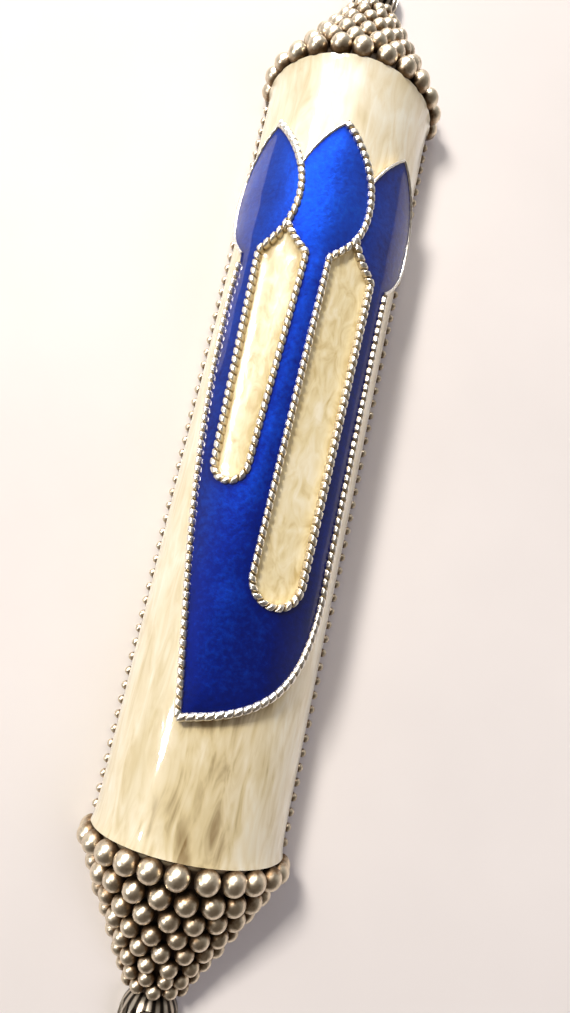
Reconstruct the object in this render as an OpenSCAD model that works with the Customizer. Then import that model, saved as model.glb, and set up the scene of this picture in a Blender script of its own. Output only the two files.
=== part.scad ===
// Mezuzah case: a D-section metal tube, enamelled on its front, closed by two
// granulated half-cone caps with fluted finials.
//
// The case lies on its flat back. +X is across, +Y runs along the case to its upper
// end, +Z comes out of the front. The origin is the centre of the flat back.
// All sizes are in millimetres.

/* [Case body] */
// Length of the tube between its two end caps
body_length = 80; // [64:1:110]
// Radius of the finished front, over the cream enamel
front_radius = 9.2; // [8:0.1:12]
// Height of the straight side below the round front
side_rise = 1.5; // [0.8:0.1:3]
// Thickness of the enamel on the front
enamel_thickness = 0.4; // [0.2:0.05:0.6]
// Thickness of the metal shell under the enamel
shell_wall = 0.8; // [0.5:0.05:1.2]
// Thickness of the plate that closes the back
back_thickness = 1; // [0.6:0.1:1.4]

/* [Edge beading] */
// Diameter of the small beads along both base edges
edge_bead_d = 0.9; // [0.5:0.02:1]
// Distance from one edge bead to the next
edge_bead_pitch = 1.45; // [1.1:0.05:2.5]
// How far the middle of an edge bead stands off the enamel's side
edge_bead_proud = 0.3; // [0:0.02:0.4]
// Height of the flat strip that carries the edge beads
edge_strip_height = 0.95; // [0.7:0.05:1.1]

/* [End caps] */
// Length of each half-cone cap, from the tube's end to its finial
cap_length = 13.8; // [10:0.1:20]
// How far the cap's core is set back from the enamelled front, at the tube
cap_inset = 0.2; // [0.1:0.05:0.6]
// How far the cap's core stands out round the neck of its finial
cap_tip_step = 0.1; // [0:0.05:0.4]
// Diameter of the first row of granules, round the mouth of the cap
first_granule_d = 2.36; // [1.8:0.02:2.8]
// Diameter of the second row of granules
second_granule_d = 1.96; // [1.4:0.02:2.4]
// Diameter of the last row of granules, at the finial
last_granule_d = 1.36; // [0.9:0.02:1.6]
// Number of rows of granules
granule_rows = 8; // [6:1:10]
// Granules in the first row
first_row_count = 13; // [9:1:15]
// How far a granule's centre stands off the core, as a share of its diameter
granule_proud = 0.4; // [0.2:0.02:0.46]
// Least gap between granules of one row
granule_gap = 0.04; // [0.02:0.01:0.2]
// Gap between the lower cap's shoulder and the tube, when closed
cap_gap = 0.1; // [0.05:0.01:0.3]

/* [Collars] */
// Length of each cap's collar inside the tube
collar_length = 6; // [3:0.5:10]
// Thickness of the collar's wall
collar_wall = 0.6; // [0.4:0.05:0.8]
// Sliding clearance round the collar
collar_clearance = 0.08; // [0.04:0.01:0.1]

/* [Finials] */
// Length of each fluted finial
finial_length = 5.4; // [4.4:0.1:8]
// Radius of the finial over its ribs
finial_radius = 2.85; // [2.4:0.05:4]
// Radius of the finial at its neck and at its outer end
finial_neck_radius = 1.5; // [1:0.05:2]
// Height of the finial's axis above the back
finial_axis_z = 1; // [0.6:0.1:1.6]
// Number of flutes round the visible half
finial_flutes = 9; // [5:1:13]
// Diameter of the nail hole
nail_hole_d = 2.2; // [1.4:0.1:2.6]
// Height of the flat seat that the nail's head bears on
nail_seat_height = 2.7; // [1.6:0.1:3]
// Width of that seat round the nail hole
nail_seat_width = 0.45; // [0.3:0.05:0.6]
// Share of the finial's round that its flutes take up
flute_share = 0.75; // [0.5:0.05:0.85]

/* [Tulip ornament] */
// Height of the blue ornament's metal ground above the cream enamel
relief_rise = 0.55; // [0.3:0.05:1]
// Thickness of the blue enamel
blue_thickness = 0.4; // [0.2:0.05:0.6]
// Width of the wires that bound the enamel
wire_width = 0.8; // [0.5:0.05:1]
// Height of the wires above the cream enamel
wire_rise = 1.35; // [1:0.05:1.8]
// Height of the bud tips above the middle of the case
bud_tip_y = 31.5; // [28:0.5:33]
// Distance between neighbouring buds, measured round the front
bud_spacing = 7.6; // [7:0.1:8.4]
// Half the width of a bud at its belly, measured round the front
bud_half_width = 4.4; // [4:0.1:4.8]
// Half the width of a stem, measured round the front
stem_half_width = 1.2; // [0.9:0.05:1.5]
// How much lower the right bud sits than the others
right_bud_drop = 0.8; // [0:0.1:1.5]
// Height of the windows' enamel above the cream enamel round the ornament
window_fill = 0.35; // [0:0.05:0.8]
// Lowest point of the left window
left_window_foot = -6.8; // [-10:0.1:-2]
// Radius of the left window's round foot
left_foot_radius = 1.8; // [1.2:0.1:2.2]
// Lowest point of the right window
right_window_foot = -17.3; // [-19:0.1:-12]
// Radius of the right window's round foot
right_foot_radius = 2.6; // [1.6:0.1:2.8]
// Pointed foot of the ornament, below the middle of the case
ornament_foot = -28.3; // [-31:0.1:-26]

/* [Scroll] */
// Room between each end of the scroll and the cap
scroll_end_room = 3.9; // [1:0.1:3.9]
// Room above and below the scroll's sleeve, where it passes through the collars
sleeve_room = 0.3; // [0.1:0.05:0.5]
// Wall of the sleeve round the scroll
sleeve_wall = 0.2; // [0.15:0.01:0.3]
// Clearance between the parchment and its sleeve
scroll_clearance = 0.15; // [0.1:0.01:0.3]
// Thickness of the parchment
parchment_thickness = 0.22; // [0.15:0.01:0.3]
// Turns in the roll
scroll_turns = 4; // [2:1:5]
// Radius of the hollow in the middle of the roll
scroll_core_radius = 0.9; // [0.5:0.1:1.2]

/* [Hidden] */
$fn = 64;

half_length = body_length / 2;
shell_radius = front_radius - enamel_thickness;
bore_radius = shell_radius - shell_wall;
collar_radius = bore_radius - collar_clearance;
collar_floor = back_thickness + collar_clearance;
wire_radius = front_radius + wire_rise;
relief_radius = front_radius + relief_rise;
blue_radius = relief_radius + blue_thickness;
window_radius = front_radius + window_fill;
cap_base_radius = front_radius - cap_inset;
cap_tip_radius = finial_neck_radius + cap_tip_step;
cut_margin = 1;

// The sleeve lies midway between the floor and the roof of the collars
chamber_low_z = collar_floor + collar_wall;
chamber_high_z = side_rise + collar_radius - collar_wall;
scroll_z = (chamber_low_z + chamber_high_z) / 2;
sleeve_radius = (chamber_high_z - chamber_low_z) / 2 - sleeve_room;
scroll_radius = sleeve_radius - sleeve_wall - scroll_clearance;
scroll_length = body_length - 2 * scroll_end_room;

// Width of each flute in a finial
flute_d = finial_radius * PI / finial_flutes * flute_share;

// Heights of a bud's widest place and of its foot, and the ends of the handles that
// round its side: the first number outward, the second upward, from the point named
bud_belly_y = bud_tip_y - 8.4;
bud_foot_y = bud_tip_y - 14.6;
bud_tip_handle = [0.36 * bud_half_width, -1.2];
bud_shoulder_handle = [0, 3.8];
bud_belly_handle = [0, -3.1];
bud_foot_handle = [0.7 * bud_half_width - stem_half_width, 1.5];
bud_foot_length = 2;

// How far the wire of one bud's side shows where it passes over the next bud
lip_above_belly = 2.8;
lip_below_belly = 2.6;

// Where the stems begin, how far out they stand, and how the base is rounded
shoulder_y = bud_foot_y - 1;
outer_edge = bud_spacing + stem_half_width;
left_shoulder = [-outer_edge, shoulder_y];
foot_tip = [-3.3, ornament_foot];
right_bend = [outer_edge, ornament_foot + 13];
left_shoulder_handle = [-1.2, -16.9];
foot_left_handle = [-1.7, 11.3];
foot_right_handle = [4.3, 1.1];
right_bend_handle = [-0.2, -11.2];

// Middles of the windows' round feet
left_foot_mid = -3.9;
right_foot_mid = 3.2;

// How far a window's outline runs up between the buds, which then cut it
window_overrun = 6;

metal = "#9a938a";
pewter = "#8b847a";
silver = "#d9d4cb";
cream = "#ebe2c8";
blue = "#1238b4";
parchment = "#dcc79a";
paper = "#efe9dc";

// ---------------------------------------------------------------- section

// The section of the case: a half round standing on a straight-sided foot
module d_profile(radius, below = 0) {
    translate([-radius, -below]) square([2 * radius, side_rise + below]);
    intersection() {
        translate([0, side_rise]) circle(radius);
        translate([-radius, 0]) square([2 * radius, side_rise + radius]);
    }
}

// That section carried along Y
module d_bar(radius, y_low, y_high, below = 0) {
    translate([0, y_high, 0])
        rotate([90, 0, 0])
            linear_extrude(y_high - y_low)
                d_profile(radius, below);
}

// The layer between two sections, over the case's whole length
module d_layer(inner_radius, outer_radius) {
    difference() {
        d_bar(outer_radius, -half_length, half_length);
        d_bar(inner_radius, -half_length - cut_margin, half_length + cut_margin, cut_margin);
    }
}

// A point at a distance along the section from its crown, positive to the right:
// round the arc first, and then straight down the side
function on_section(radius, along) =
    let (quarter = radius * PI / 2)
    abs(along) <= quarter
        ? [radius * sin(along / radius * 180 / PI),
           side_rise + radius * cos(along / radius * 180 / PI)]
        : [sign(along) * radius, side_rise - (abs(along) - quarter)];

// Lowest level of the ornament, just past the outermost sides of the buds
ornament_low_z = on_section(wire_radius, bud_spacing + bud_half_width + wire_width)[1];

// ---------------------------------------------------------------- tube

module front_shell() {
    color(metal) d_layer(bore_radius, shell_radius);
}

module back_plate() {
    color(pewter)
        translate([-bore_radius, -half_length, 0])
            cube([2 * bore_radius, body_length, back_thickness]);
}

// The strip along the right base edge and the beads on it
module edge_beading() {
    count = floor((body_length - edge_bead_d) / edge_bead_pitch);
    translate([shell_radius, -half_length, 0])
        cube([enamel_thickness, body_length, edge_strip_height]);
    for (i = [-count / 2 : count / 2])
        translate([front_radius + edge_bead_proud, i * edge_bead_pitch, edge_strip_height / 2])
            sphere(d = edge_bead_d);
}

module left_edge_beading() { color(silver) mirror([1, 0, 0]) edge_beading(); }
module right_edge_beading() { color(silver) edge_beading(); }

// ---------------------------------------------------------------- tulip outlines

// Points of a cubic curve from a to d, without its last point
function curve(a, b, c, d, steps = 8) =
    [for (i = [0 : steps - 1])
        let (t = i / steps, u = 1 - t)
        u * u * u * a + 3 * u * u * t * b + 3 * u * t * t * c + t * t * t * d];

// The ornament is drawn unrolled: first number round the front, second along it.
// This folds a list of such points onto the plan view of the front.
function on_plan(points) =
    [for (p = points) [wire_radius * sin(p[0] / wire_radius * 180 / PI), p[1]]];

// One side of a bud about its own axis, from its tip down to its stem
bud_tip = [0, bud_tip_y];
bud_belly = [bud_half_width, bud_belly_y];
bud_foot = [stem_half_width, bud_foot_y];
bud_side = concat(
    curve(bud_tip, bud_tip + bud_tip_handle, bud_belly + bud_shoulder_handle, bud_belly),
    curve(bud_belly, bud_belly + bud_belly_handle, bud_foot + bud_foot_handle, bud_foot),
    [bud_foot, bud_foot - [0, bud_foot_length]]
);
// The same side taken back up the other way, past the tip
bud_other_side = [for (i = [len(bud_side) - 1 : -1 : 1]) [-bud_side[i][0], bud_side[i][1]]];

module bud(axis, drop = 0) {
    polygon(on_plan([for (p = concat(bud_side, bud_other_side)) p + [axis, -drop]]));
}

module left_bud() { bud(-bud_spacing); }
module centre_bud() { bud(0); }
module right_bud() { bud(bud_spacing, right_bud_drop); }

// The stems and the base below the buds, before the windows are cut: down the left
// side to the pointed foot, up the right side, and closed behind the buds' bellies
module stems_and_base() {
    polygon(on_plan(concat(
        curve(left_shoulder, left_shoulder + left_shoulder_handle,
              foot_tip + foot_left_handle, foot_tip, 12),
        curve(foot_tip, foot_tip + foot_right_handle,
              right_bend + right_bend_handle, right_bend, 12),
        [right_bend, [outer_edge, shoulder_y], [bud_spacing, shoulder_y],
         [bud_spacing, bud_belly_y - bud_foot_length],
         [-bud_spacing, bud_belly_y - bud_foot_length], [-bud_spacing, shoulder_y]]
    )));
}

// A slot between two stems, closed by a round foot: the left and right edges at the
// top, the foot's centre line and its radius
module slot(left_top, right_top, foot_mid, foot_radius, foot_y) {
    centre_y = foot_y + foot_radius;
    polygon(on_plan(concat(
        [[left_top, shoulder_y + window_overrun], [left_top, shoulder_y]],
        [for (a = [180 : 15 : 360]) [foot_mid + foot_radius * cos(a), centre_y + foot_radius * sin(a)]],
        [[right_top, shoulder_y], [right_top, shoulder_y + window_overrun]]
    )));
}

module buds() {
    left_bud();
    centre_bud();
    right_bud();
}

module left_window() {
    difference() {
        slot(stem_half_width - bud_spacing, -stem_half_width,
             left_foot_mid, left_foot_radius, left_window_foot);
        buds();
    }
}

module right_window() {
    difference() {
        slot(stem_half_width, bud_spacing - stem_half_width,
             right_foot_mid, right_foot_radius, right_window_foot);
        buds();
    }
}

module ornament() {
    buds();
    stems_and_base();
}

// An outline moved outward by half a wire, or inward where the amount is negative
module grown(amount) {
    offset(r = amount, $fn = 16) children();
}

// The band that a wire takes along an outline
module wire_band() {
    difference() {
        grown(wire_width / 2) children();
        grown(-wire_width / 2) children();
    }
}

// The blue ground: inside the outline wire and outside the windows' wires
module blue_ground() {
    difference() {
        grown(-wire_width / 2) ornament();
        grown(wire_width / 2) left_window();
        grown(wire_width / 2) right_window();
    }
}

// The right side of a bud, where its wire passes over the next bud
module bud_lip(axis) {
    difference() {
        intersection() {
            wire_band() bud(axis);
            translate([on_plan([[axis, 0]])[0][0], bud_belly_y - lip_below_belly])
                square([2 * bud_spacing, lip_above_belly + lip_below_belly]);
        }
        wire_band() ornament();
        grown(wire_width / 2) left_window();
        grown(wire_width / 2) right_window();
    }
}

module left_bud_lip() { bud_lip(-bud_spacing); }
module centre_bud_lip() { bud_lip(0); }

// Plan outlines raised through everything above the ornament's lowest level
module raised() {
    translate([0, 0, ornament_low_z]) linear_extrude(2 * wire_radius) children();
}

// Plan outlines carried through the layer between two radii
module in_layer(inner_radius, outer_radius) {
    intersection() {
        d_layer(inner_radius, outer_radius);
        raised() children();
    }
}

// ---------------------------------------------------------------- enamel and wires

module cream_enamel() {
    color(cream)
        difference() {
            d_layer(shell_radius, front_radius);
            raised() grown(wire_width / 2) ornament();
            translate([-wire_radius, -half_length - cut_margin, -cut_margin])
                cube([2 * wire_radius, body_length + 2 * cut_margin, edge_strip_height + cut_margin]);
        }
}

module tulip_relief() {
    color(metal) in_layer(shell_radius, relief_radius) blue_ground();
}

module blue_enamel() {
    color(blue)
        in_layer(relief_radius, blue_radius)
            difference() {
                blue_ground();
                left_bud_lip();
                centre_bud_lip();
            }
}

module outline_wire() {
    color(silver) in_layer(shell_radius, wire_radius) wire_band() ornament();
}

module left_window_wire() {
    color(silver)
        in_layer(shell_radius, wire_radius)
            difference() {
                wire_band() left_window();
                wire_band() ornament();
            }
}

module right_window_wire() {
    color(silver)
        in_layer(shell_radius, wire_radius)
            difference() {
                wire_band() right_window();
                wire_band() ornament();
            }
}

module left_bud_wire() {
    color(silver) in_layer(relief_radius, wire_radius) left_bud_lip();
}

module centre_bud_wire() {
    color(silver) in_layer(relief_radius, wire_radius) centre_bud_lip();
}

module left_window_enamel() {
    color(cream) in_layer(shell_radius, window_radius) grown(-wire_width / 2) left_window();
}

module right_window_enamel() {
    color(cream) in_layer(shell_radius, window_radius) grown(-wire_width / 2) right_window();
}

// ---------------------------------------------------------------- end caps

// The core of a cap, its mouth at y = 0 and its tip towards +Y
module cap_core() {
    intersection() {
        translate([0, 0, side_rise])
            rotate([-90, 0, 0])
                cylinder(h = cap_length, r1 = cap_base_radius, r2 = cap_tip_radius);
        translate([-cap_base_radius, 0, side_rise])
            cube([2 * cap_base_radius, cap_length, cap_base_radius]);
    }
    linear_extrude(side_rise)
        polygon([[-cap_base_radius, 0], [cap_base_radius, 0],
                 [cap_tip_radius, cap_length], [-cap_tip_radius, cap_length]]);
}

// The first row is the largest; from the second row on the sizes fall evenly
function granule_d(row) =
    row == 0 ? first_granule_d
        : second_granule_d + (last_granule_d - second_granule_d) * (row - 1) / (granule_rows - 2);

// How far along the cap each row's centre is: the first row touches the mouth's plane,
// the last row touches the finial's, and the spacing between follows the granules' sizes
function row_sum(row) =
    row == 0 ? 0 : row_sum(row - 1) + (granule_d(row - 1) + granule_d(row)) / 2;
rows_length = cap_length - (first_granule_d + last_granule_d) / 2;
function row_y(row) =
    first_granule_d / 2 + rows_length * row_sum(row) / row_sum(granule_rows - 1);

// Each row sits a little proud of the core
function row_radius(row) =
    cap_base_radius + (cap_tip_radius - cap_base_radius) * row_y(row) / cap_length
    + granule_proud * granule_d(row);

// How far round the section a row's granules go to each side: the last one of each
// row stands just clear of the surface that the case lies on
function row_reach(row) =
    row_radius(row) * PI / 2 + side_rise - granule_d(row) / 2 - granule_gap;

// Every second row has one granule fewer, so that the rows are staggered, and near the
// tip a row has as many as fit
function row_count(row) =
    min(first_row_count - ceil(row / 2),
        floor(2 * row_reach(row) / (granule_d(row) + granule_gap)) + 1);

// All the granules of one cap, its mouth at y = 0
module granules() {
    for (row = [0 : granule_rows - 1]) {
        reach = row_reach(row);
        pitch = 2 * reach / (row_count(row) - 1);
        for (i = [0 : row_count(row) - 1]) {
            place = on_section(row_radius(row), -reach + i * pitch);
            translate([place[0], row_y(row), place[1]]) sphere(d = granule_d(row));
        }
    }
}

// The collar behind a cap, from y = 0 down into the tube
module collar() {
    difference() {
        d_bar(collar_radius, -collar_length, 0);
        d_bar(collar_radius - collar_wall, -collar_length - cut_margin, cut_margin);
        translate([-front_radius, -collar_length - cut_margin, -cut_margin])
            cube([2 * front_radius, collar_length + 2 * cut_margin, collar_floor + cut_margin]);
    }
    translate([-collar_radius, -collar_length, collar_floor])
        cube([2 * collar_radius, collar_length, collar_wall]);
}

// The round profile of a finial, its neck on y = 0: an arc through the widest point
// and both ends
module finial_profile() {
    fall = finial_radius - finial_neck_radius;
    arc_radius = (fall * fall + finial_length * finial_length / 4) / (2 * fall);
    intersection() {
        translate([finial_radius - arc_radius, finial_length / 2]) circle(arc_radius);
        square([finial_radius, finial_length]);
    }
}

// A fluted finial, its neck at y = 0: round about the case's length, flat at the back,
// with grooves along it and a nail hole through it
module finial() {
    difference() {
        translate([0, 0, finial_axis_z])
            rotate([-90, 0, 0])
                rotate_extrude() finial_profile();
        for (i = [0 : finial_flutes])
            translate([0, 0, finial_axis_z])
                rotate([0, -90 + 180 * i / finial_flutes, 0])
                    translate([0, -cut_margin, finial_radius])
                        rotate([-90, 0, 0])
                            cylinder(h = finial_length + 2 * cut_margin, d = flute_d);
        translate([-2 * finial_radius, -cut_margin, -4 * finial_radius])
            cube([4 * finial_radius, finial_length + 2 * cut_margin, 4 * finial_radius]);
        translate([0, finial_length / 2, -cut_margin])
            cylinder(h = 2 * finial_radius + cut_margin, d = nail_hole_d);
        translate([0, finial_length / 2, nail_seat_height])
            cylinder(h = 2 * finial_radius, d = nail_hole_d + 2 * nail_seat_width);
    }
}

module at_upper_end() { translate([0, half_length, 0]) children(); }
module at_lower_end() { mirror([0, 1, 0]) translate([0, half_length + cap_gap, 0]) children(); }

module upper_end_cap() { color(pewter) at_upper_end() cap_core(); }
module upper_granulation() { color(silver) at_upper_end() granules(); }
module upper_collar() { color(metal) at_upper_end() collar(); }
module upper_finial() { color(pewter) at_upper_end() translate([0, cap_length, 0]) finial(); }

module lower_end_cap() { color(pewter) at_lower_end() cap_core(); }
module lower_granulation() { color(silver) at_lower_end() granules(); }
module lower_collar() { color(metal) at_lower_end() collar(); }
module lower_finial() { color(pewter) at_lower_end() translate([0, cap_length, 0]) finial(); }

// ---------------------------------------------------------------- scroll

// One side of the rolled sheet: the radius falls evenly as the roll turns inward
function roll(inset, steps = 20) =
    let (pitch = (scroll_radius - scroll_core_radius) / scroll_turns)
    [for (i = [0 : scroll_turns * steps])
        let (r = scroll_radius - inset - pitch * i / steps)
        [r * cos(360 * i / steps), r * sin(360 * i / steps)]];

function reversed(points) = [for (i = [len(points) - 1 : -1 : 0]) points[i]];

module parchment_scroll() {
    color(parchment)
        translate([0, scroll_length / 2, scroll_z])
            rotate([90, 0, 0])
                linear_extrude(scroll_length)
                    polygon(concat(roll(0), reversed(roll(parchment_thickness))));
}

module scroll_sleeve() {
    color(paper)
        translate([0, scroll_length / 2, scroll_z])
            rotate([90, 0, 0])
                difference() {
                    cylinder(h = scroll_length, r = sleeve_radius);
                    translate([0, 0, -cut_margin])
                        cylinder(h = scroll_length + 2 * cut_margin, r = sleeve_radius - sleeve_wall);
                }
}

front_shell();
back_plate();
cream_enamel();
left_edge_beading();
right_edge_beading();
tulip_relief();
blue_enamel();
outline_wire();
left_window_wire();
right_window_wire();
left_bud_wire();
centre_bud_wire();
left_window_enamel();
right_window_enamel();
upper_end_cap();
upper_granulation();
upper_collar();
upper_finial();
lower_end_cap();
lower_granulation();
lower_collar();
lower_finial();
parchment_scroll();
scroll_sleeve();
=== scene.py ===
import math

import bpy
import numpy as np
from mathutils import Matrix, Vector
from mathutils.geometry import delaunay_2d_cdt


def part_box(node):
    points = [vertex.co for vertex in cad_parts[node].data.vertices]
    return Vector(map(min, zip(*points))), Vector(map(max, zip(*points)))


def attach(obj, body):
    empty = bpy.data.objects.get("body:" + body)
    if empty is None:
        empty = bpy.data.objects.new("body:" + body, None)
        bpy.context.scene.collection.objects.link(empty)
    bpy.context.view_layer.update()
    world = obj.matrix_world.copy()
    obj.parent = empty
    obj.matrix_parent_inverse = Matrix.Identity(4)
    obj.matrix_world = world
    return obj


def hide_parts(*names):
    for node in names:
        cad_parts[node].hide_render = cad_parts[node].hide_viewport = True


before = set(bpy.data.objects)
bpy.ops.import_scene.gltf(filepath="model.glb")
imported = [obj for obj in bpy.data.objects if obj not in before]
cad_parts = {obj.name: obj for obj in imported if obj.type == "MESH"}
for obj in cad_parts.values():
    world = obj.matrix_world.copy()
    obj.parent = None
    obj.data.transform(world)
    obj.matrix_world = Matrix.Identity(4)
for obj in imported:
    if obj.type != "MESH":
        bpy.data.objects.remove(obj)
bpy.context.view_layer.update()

# All shapes are worked out in millimetres and made metres when they become meshes.
MM = 0.001


def corners(node):
    """A CAD node's lowest and highest corner, in millimetres."""
    low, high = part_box(node)
    return np.array(low) / MM, np.array(high) / MM


# ---------------------------------------------------------------- sizes from the frame

cream_low, cream_high = corners("cream_enamel")
FRONT_RADIUS = (cream_high[0] - cream_low[0]) / 2
SIDE_RISE = cream_high[2] - FRONT_RADIUS
HALF_LENGTH = cream_high[1]
STRIP_HEIGHT = cream_low[2]
SHELL_RADIUS = corners("front_shell")[1][2] - SIDE_RISE
RELIEF_RISE = corners("tulip_relief")[1][2] - SIDE_RISE - FRONT_RADIUS
BLUE_RISE = corners("blue_enamel")[1][2] - SIDE_RISE - FRONT_RADIUS
WIRE_RISE = corners("outline_wire")[1][2] - SIDE_RISE - FRONT_RADIUS
WIRE_RADIUS = FRONT_RADIUS + WIRE_RISE
WINDOW_RISE = corners("right_window_enamel")[1][2] - SIDE_RISE - FRONT_RADIUS
SHELL_DEPTH = SHELL_RADIUS - FRONT_RADIUS

# The ornament, unrolled: the first number goes round the front, the second along it
BUD_TIP_Y = 31.5
BUD_SPACING = 7.6
BUD_HALF_WIDTH = 4.4
BUD_BELLY_DROP = 8.4
BUD_FOOT_DROP = 14.6
STEM_HALF_WIDTH = 1.2
RIGHT_BUD_DROP = 0.8
SHOULDER_Y = BUD_TIP_Y - BUD_FOOT_DROP - 1
FOOT_TIP = np.array([-3.3, -28.3])
RIGHT_BEND_RISE = 13
LEFT_WINDOW = {"mid": -3.9, "radius": 1.8, "foot": -6.8}
RIGHT_WINDOW = {"mid": 3.2, "radius": 2.6, "foot": -17.3}

# The notched wire: its notches, how far they slant across it and pinch it in, how deep
# they still are where it is worn, and the height of its half round top
WIRE_WIDTH = 0.72
NOTCH_PITCH = 0.86
NOTCH_DEPTH = 0.36
NOTCH_SLANT = 0.5
NOTCH_PINCH = 0.35
WORN_NOTCH_DEPTH = 0.14
WIRE_TOP_HEIGHT = 0.3

# The thin smooth wires along the far sides of the buds
THIN = {"width": 0.34, "rise": WIRE_RISE - 0.24, "depth": 0.04}

# The beads along the base strips
BEAD = 0.9
BEAD_PITCH = 1.45
BEAD_PROUD = 0.22
STRIP_DIP = 0.12

# The granules, row by row from the mouth of a cap to its finial
FIRST_GRANULE = 2.36
SECOND_GRANULE = 2.24
LAST_GRANULE = 1.5
GRANULE_ROWS = 8
FIRST_ROW_COUNT = 13
GRANULE_PROUD = 0.4
GRANULE_GAP = 0.04
GRANULE_STRAY = 0.05
FIRST_ROW_TUCK = 0.15
ROW_CLOSING = 0.94  # under 1, the rows draw closer together towards the finial
CAP_TIP_RADIUS = 1.6

# The finials' axis lies along the case at this height
FINIAL_AXIS_Z = 1.0
FINIAL_FLUTES = 9

# The rolled parchment and the sleeve round it
SHEET_TURNS = 4
SHEET_THICKNESS = 0.22
SHEET_CORE_RADIUS = 0.9
SHEET_SLIP = 0.25
SHEET_SLIP_TURNS = 3.1
SLEEVE_WALL = 0.2
SLEEVE_CREASE = 0.03

# How the enamels lie: the cream swells at its ends, the windows' floors are drawn up at
# their wires, and every coat is a little uneven
END_SWELL = 0.24
END_SWELL_REACH = 0.8
CREAM_UNEVEN = 0.02
BLUE_CROWN = 0.1
BLUE_UNEVEN = 0.035
TROUGH_EDGE_RISE = 0.55
TROUGH_UNEVEN = 0.02

rng = np.random.default_rng(7)


# ---------------------------------------------------------------- surfaces

def on_front(along, y, height):
    """Folds unrolled places onto the round front. The angle from the crown is the distance
    along the section over the wires' radius, and the height adds to the enamel's radius."""
    angle = along / WIRE_RADIUS
    radius = FRONT_RADIUS + height
    return np.stack([radius * np.sin(angle), y + 0 * angle, SIDE_RISE + radius * np.cos(angle)], -1)


def on_section(radius, along):
    """Places on the D section of that radius, round the arc from the crown and then
    straight down the side, and the angle from the upright at which each one faces."""
    quarter = radius * math.pi / 2
    angle = np.clip(along, -quarter, quarter) / radius
    drop = np.maximum(np.abs(along) - quarter, 0)
    return radius * np.sin(angle), SIDE_RISE + radius * np.cos(angle) - drop, angle


def ripple(across, y, size, seed):
    """A soft unevenness from -1 to 1: the mean of six sine waves in seeded directions, with
    wavelengths from one to three times size."""
    waves = np.random.default_rng(seed)
    turn = waves.uniform(0, 2 * math.pi, 6)
    length = size * waves.uniform(1, 3, 6)
    shift = waves.uniform(0, 2 * math.pi, 6)
    place = across[..., None] * np.cos(turn) + y[..., None] * np.sin(turn)
    return np.sin(2 * math.pi * place / length + shift).mean(-1)


def grid_faces(rows, columns, ring=False):
    """The quads between neighbouring points of a grid, whose columns may close to a ring."""
    i = np.arange(rows - 1)[:, None]
    j = np.arange(columns if ring else columns - 1)[None, :]
    k = (j + 1) % columns
    quads = [i * columns + j, i * columns + k, (i + 1) * columns + k, (i + 1) * columns + j]
    return np.stack(np.broadcast_arrays(*quads), -1).reshape(-1, 4)


def fans(rows, around):
    """The triangles from a grid's first row to the point that follows the grid, and from
    its last row to the point after that."""
    j = np.arange(around)
    k = (j + 1) % around
    last = (rows - 1) * around
    return [np.stack([k, j, np.full(around, rows * around)], -1),
            np.stack([last + j, last + k, np.full(around, rows * around + 1)], -1)]


def folded_faces(count, around):
    """The faces of a closed shell round a row of rings, each of which goes out along one
    side of a sheet and back along its other side. Quads across the sheet close each end."""
    j = np.arange(around // 2 - 1)
    end = np.stack([j, j + 1, around - 2 - j, around - 1 - j], -1)
    return [grid_faces(count, around, ring=True), end[:, ::-1], end + (count - 1) * around]


def outward(points, faces):
    """Turns a closed shell's faces round if its signed volume, the sum of the signed
    volumes of the pyramids from the origin to its faces, is negative."""
    volume = 0.0
    for group in faces:
        for i in range(1, group.shape[1] - 1):
            a, b, c = points[group[:, 0]], points[group[:, i]], points[group[:, i + 1]]
            volume += np.einsum("ij,ij->i", a, np.cross(b, c)).sum()
    return [group[:, ::-1] for group in faces] if volume < 0 else faces


def shell(points, faces, hollow=None):
    """A closed shell: its points, its faces turned outward, and a mark for each point from 0 to 1
    that darkens its finish: patina in hollows, and painted shade."""
    points = np.asarray(points, float).reshape(-1, 3)
    hollow = np.zeros(len(points)) if hollow is None else np.asarray(hollow, float).ravel()
    return points, outward(points, faces), hollow


def joined(shells):
    """Several shells as one: their points one after another, and their faces renumbered."""
    starts = np.cumsum([0] + [len(points) for points, _, _ in shells])
    faces = [group + start for (_, groups, _), start in zip(shells, starts) for group in groups]
    return np.vstack([s[0] for s in shells]), faces, np.concatenate([s[2] for s in shells])


def tube(rings, hollow):
    """A closed shell round a row of rings, each end filled by a fan about its middle."""
    count, around = rings.shape[:2]
    points = np.vstack([rings.reshape(-1, 3), rings[[0, -1]].mean(1)])
    marks = np.concatenate([hollow.ravel(), [0, 0]])
    return shell(points, [grid_faces(count, around, ring=True), *fans(count, around)], marks)


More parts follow.
